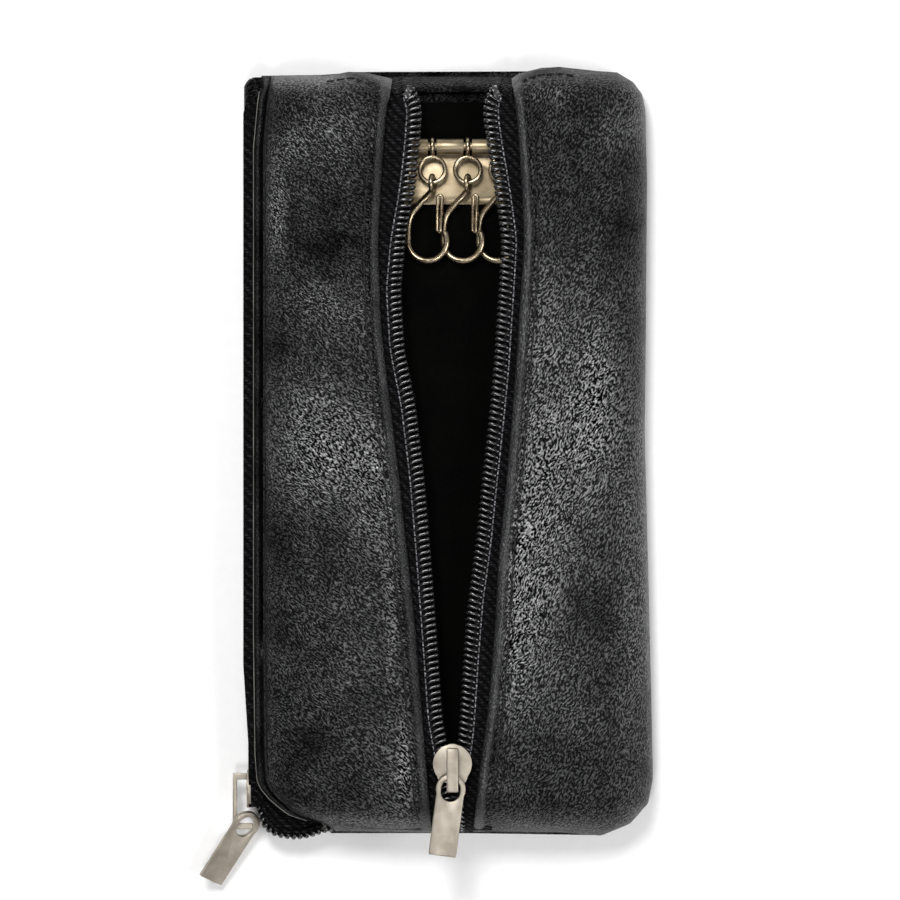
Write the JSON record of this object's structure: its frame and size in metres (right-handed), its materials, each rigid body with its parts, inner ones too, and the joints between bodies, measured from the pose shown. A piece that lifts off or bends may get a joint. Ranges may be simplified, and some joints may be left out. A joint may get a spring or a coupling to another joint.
{
  "type": "zip key case",
  "caption": "Soft leather key case with a long front zip over a row of snap hooks and a second zip down its left side to a flat rear pocket.",
  "frame": {"origin": "centre of the case's flat back face", "axes": "+X to the right of the opened front, +Y towards the hook end, +Z out of the flat back"},
  "size_m": [0.0821, 0.1472, 0.0187],
  "materials": {
    "leather": "fine grained nappa, semi-gloss",
    "lining_cloth": "matt",
    "tape_cloth": "woven twill",
    "coil_nylon": "glossy nylon",
    "zip_metal": "satin nickel",
    "plate_metal": "satin nickel, warm",
    "hook_metal": "satin nickel, bronze tint"
  },
  "bodies": {
    "root": {"back_panel": "leather", "divider": "leather", "divider_lining": "lining_cloth", "front_left_panel": "leather", "front_right_panel": "leather", "front_left_lining": "lining_cloth", "front_right_lining": "lining_cloth", "closed_chain": "coil_nylon", "bottom_tape": "tape_cloth", "side_tape_upper": "tape_cloth", "side_tape_lower": "tape_cloth", "side_coil_upper": "coil_nylon", "side_coil_lower": "coil_nylon", "side_stop": "leather", "key_plate": "plate_metal", "key_bar": "plate_metal", "plate_rivets": "plate_metal"},
    "zip_slider": {"slider_body": "zip_metal", "slider_bridge": "zip_metal"},
    "zip_puller": {"slider_puller": "zip_metal"},
    "left_leaf": {"left_tape_lower": "tape_cloth", "left_coil_lower": "coil_nylon"},
    "left_leaf_top": {"left_tape_upper": "tape_cloth", "left_coil_upper": "coil_nylon", "left_top_stop": "zip_metal"},
    "right_leaf": {"right_tape_lower": "tape_cloth", "right_coil_lower": "coil_nylon"},
    "right_leaf_top": {"right_tape_upper": "tape_cloth", "right_coil_upper": "coil_nylon", "right_top_stop": "zip_metal"},
    "side_zip_slider": {"side_slider_body": "zip_metal", "side_slider_bridge": "zip_metal"},
    "side_zip_puller": {"side_puller": "zip_metal"},
    "link_1": {"link_1": "hook_metal"},
    "hook_1": {"hook_1": "hook_metal"},
    "gate_1": {"gate_1": "hook_metal"},
    "link_2": {"link_2": "hook_metal"},
    "hook_2": {"hook_2": "hook_metal"},
    "gate_2": {"gate_2": "hook_metal"},
    "link_3": {"link_3": "hook_metal"},
    "hook_3": {"hook_3": "hook_metal"},
    "gate_3": {"gate_3": "hook_metal"},
    "link_4": {"link_4": "hook_metal"},
    "hook_4": {"hook_4": "hook_metal"},
    "gate_4": {"gate_4": "hook_metal"},
    "link_5": {"link_5": "hook_metal"},
    "hook_5": {"hook_5": "hook_metal"},
    "gate_5": {"gate_5": "hook_metal"},
    "link_6": {"link_6": "hook_metal"},
    "hook_6": {"hook_6": "hook_metal"},
    "gate_6": {"gate_6": "hook_metal"}
  },
  "joints": [
    {"name": "zip_close", "type": "slide", "parent": "root", "child": "zip_slider", "axis": [0, -1, 0], "range_m": [-0.112, 0], "deforming": ["left_tape_lower", "left_coil_lower", "left_tape_upper", "left_coil_upper", "left_top_stop", "right_tape_lower", "right_coil_lower", "right_tape_upper", "right_coil_upper", "right_top_stop"]},
    {"name": "puller_flip", "type": "hinge", "parent": "zip_slider", "child": "zip_puller", "pos_m": [0.00044, -0.05777, 0.01695], "axis": [-0.9917, 0.1288, 0], "range_deg": [0, 140]},
    {"name": "left_leaf_in", "type": "hinge", "parent": "root", "child": "left_leaf", "pos_m": [-0.0008, -0.05607, 0.0144], "axis": [0, 0, 1], "range_deg": [-6.19, 0]},
    {"name": "right_leaf_in", "type": "hinge", "parent": "root", "child": "right_leaf", "pos_m": [0.00168, -0.05607, 0.0144], "axis": [0, 0, -1], "range_deg": [-5.63, 0]},
    {"name": "left_leaf_back", "type": "hinge", "parent": "left_leaf", "child": "left_leaf_top", "pos_m": [-0.00989, 0.02972, 0.0144], "axis": [0, 0, -1], "range_deg": [-12.84, 0]},
    {"name": "right_leaf_back", "type": "hinge", "parent": "right_leaf", "child": "right_leaf_top", "pos_m": [0.00993, 0.02972, 0.0144], "axis": [0, 0, 1], "range_deg": [-10.83, 0]},
    {"name": "side_zip_close", "type": "slide", "parent": "root", "child": "side_zip_slider", "axis": [0, -1, 0], "range_m": [-0.114, 0]},
    {"name": "side_puller_lift", "type": "hinge", "parent": "side_zip_slider", "child": "side_zip_puller", "pos_m": [-0.03725, -0.06739, 0.0042], "axis": [0.8415, -0.5402, 0], "range_deg": [-12, 0]},
    {"name": "link_swing_1", "type": "hinge", "parent": "root", "child": "link_1", "pos_m": [-0.016, 0.05573, 0.0107], "axis": [-1, 0, 0], "range_deg": [0, 0.81]},
    {"name": "hook_swing_1", "type": "hinge", "parent": "link_1", "child": "hook_1", "pos_m": [-0.016, 0.04923, 0.0107], "axis": [-1, 0, 0], "range_deg": [0, 0.51]},
    {"name": "gate_open_1", "type": "hinge", "parent": "hook_1", "child": "gate_1", "pos_m": [-0.01617, 0.04654, 0.0107], "axis": [0, 0, -1], "range_deg": [0, 18], "stiffness_Nm_per_rad": 0.0004},
    {"name": "link_swing_2", "type": "hinge", "parent": "root", "child": "link_2", "pos_m": [-0.0096, 0.05573, 0.0107], "axis": [-1, 0, 0], "range_deg": [0, 0.81]},
    {"name": "hook_swing_2", "type": "hinge", "parent": "link_2", "child": "hook_2", "pos_m": [-0.0096, 0.04923, 0.0107], "axis": [-1, 0, 0], "range_deg": [0, 0.51]},
    {"name": "gate_open_2", "type": "hinge", "parent": "hook_2", "child": "gate_2", "pos_m": [-0.00898, 0.04661, 0.0107], "axis": [0, 0, -1], "range_deg": [0, 18], "stiffness_Nm_per_rad": 0.0004},
    {"name": "link_swing_3", "type": "hinge", "parent": "root", "child": "link_3", "pos_m": [-0.0032, 0.05573, 0.0107], "axis": [-1, 0, 0], "range_deg": [0, 60]},
    {"name": "hook_swing_3", "type": "hinge", "parent": "link_3", "child": "hook_3", "pos_m": [-0.0032, 0.04923, 0.0107], "axis": [-1, 0, 0], "range_deg": [0, 40.01]},
    {"name": "gate_open_3", "type": "hinge", "parent": "hook_3", "child": "gate_3", "pos_m": [-0.00183, 0.04693, 0.011], "axis": [0.2164, 0, -0.9763], "range_deg": [0, 18], "stiffness_Nm_per_rad": 0.0004},
    {"name": "link_swing_4", "type": "hinge", "parent": "root", "child": "link_4", "pos_m": [0.0032, 0.05573, 0.0107], "axis": [-1, 0, 0], "range_deg": [0, 60.01]},
    {"name": "hook_swing_4", "type": "hinge", "parent": "link_4", "child": "hook_4", "pos_m": [0.0032, 0.04923, 0.0107], "axis": [-1, 0, 0], "range_deg": [0, 40.01]},
    {"name": "gate_open_4", "type": "hinge", "parent": "hook_4", "child": "gate_4", "pos_m": [0.00457, 0.04693, 0.011], "axis": [0.2164, 0, -0.9763], "range_deg": [0, 18], "stiffness_Nm_per_rad": 0.0004},
    {"name": "link_swing_5", "type": "hinge", "parent": "root", "child": "link_5", "pos_m": [0.0096, 0.05573, 0.0107], "axis": [-1, 0, 0], "range_deg": [0, 0.81]},
    {"name": "hook_swing_5", "type": "hinge", "parent": "link_5", "child": "hook_5", "pos_m": [0.0096, 0.04923, 0.0107], "axis": [-1, 0, 0], "range_deg": [0, 0.51]},
    {"name": "gate_open_5", "type": "hinge", "parent": "hook_5", "child": "gate_5", "pos_m": [0.01097, 0.04693, 0.011], "axis": [0.2164, 0, -0.9763], "range_deg": [0, 18], "stiffness_Nm_per_rad": 0.0004},
    {"name": "link_swing_6", "type": "hinge", "parent": "root", "child": "link_6", "pos_m": [0.016, 0.05573, 0.0107], "axis": [-1, 0, 0], "range_deg": [0, 0.81]},
    {"name": "hook_swing_6", "type": "hinge", "parent": "link_6", "child": "hook_6", "pos_m": [0.016, 0.04923, 0.0107], "axis": [-1, 0, 0], "range_deg": [0, 0.51]},
    {"name": "gate_open_6", "type": "hinge", "parent": "hook_6", "child": "gate_6", "pos_m": [0.01737, 0.04693, 0.011], "axis": [0.2164, 0, -0.9763], "range_deg": [0, 18], "stiffness_Nm_per_rad": 0.0004}
  ],
  "couplings": [
    {"joint": "left_leaf_in", "follows": "zip_close", "rad_per_m": 0.96305},
    {"joint": "right_leaf_in", "follows": "zip_close", "rad_per_m": 0.87578},
    {"joint": "left_leaf_back", "follows": "zip_close", "rad_per_m": 1.9993},
    {"joint": "right_leaf_back", "follows": "zip_close", "rad_per_m": 1.6861},
    {"joint": "link_swing_1", "follows": "link_swing_3", "ratio": 0.013333},
    {"joint": "hook_swing_1", "follows": "link_swing_3", "ratio": 0.008333},
    {"joint": "link_swing_2", "follows": "link_swing_3", "ratio": 0.013333},
    {"joint": "hook_swing_2", "follows": "link_swing_3", "ratio": 0.008333},
    {"joint": "hook_swing_3", "follows": "link_swing_3", "ratio": 0.66667},
    {"joint": "link_swing_4", "follows": "link_swing_3", "ratio": 1},
    {"joint": "hook_swing_4", "follows": "link_swing_3", "ratio": 0.66667},
    {"joint": "link_swing_5", "follows": "link_swing_3", "ratio": 0.013333},
    {"joint": "hook_swing_5", "follows": "link_swing_3", "ratio": 0.008333},
    {"joint": "link_swing_6", "follows": "link_swing_3", "ratio": 0.013333},
    {"joint": "hook_swing_6", "follows": "link_swing_3", "ratio": 0.008333}
  ]
}
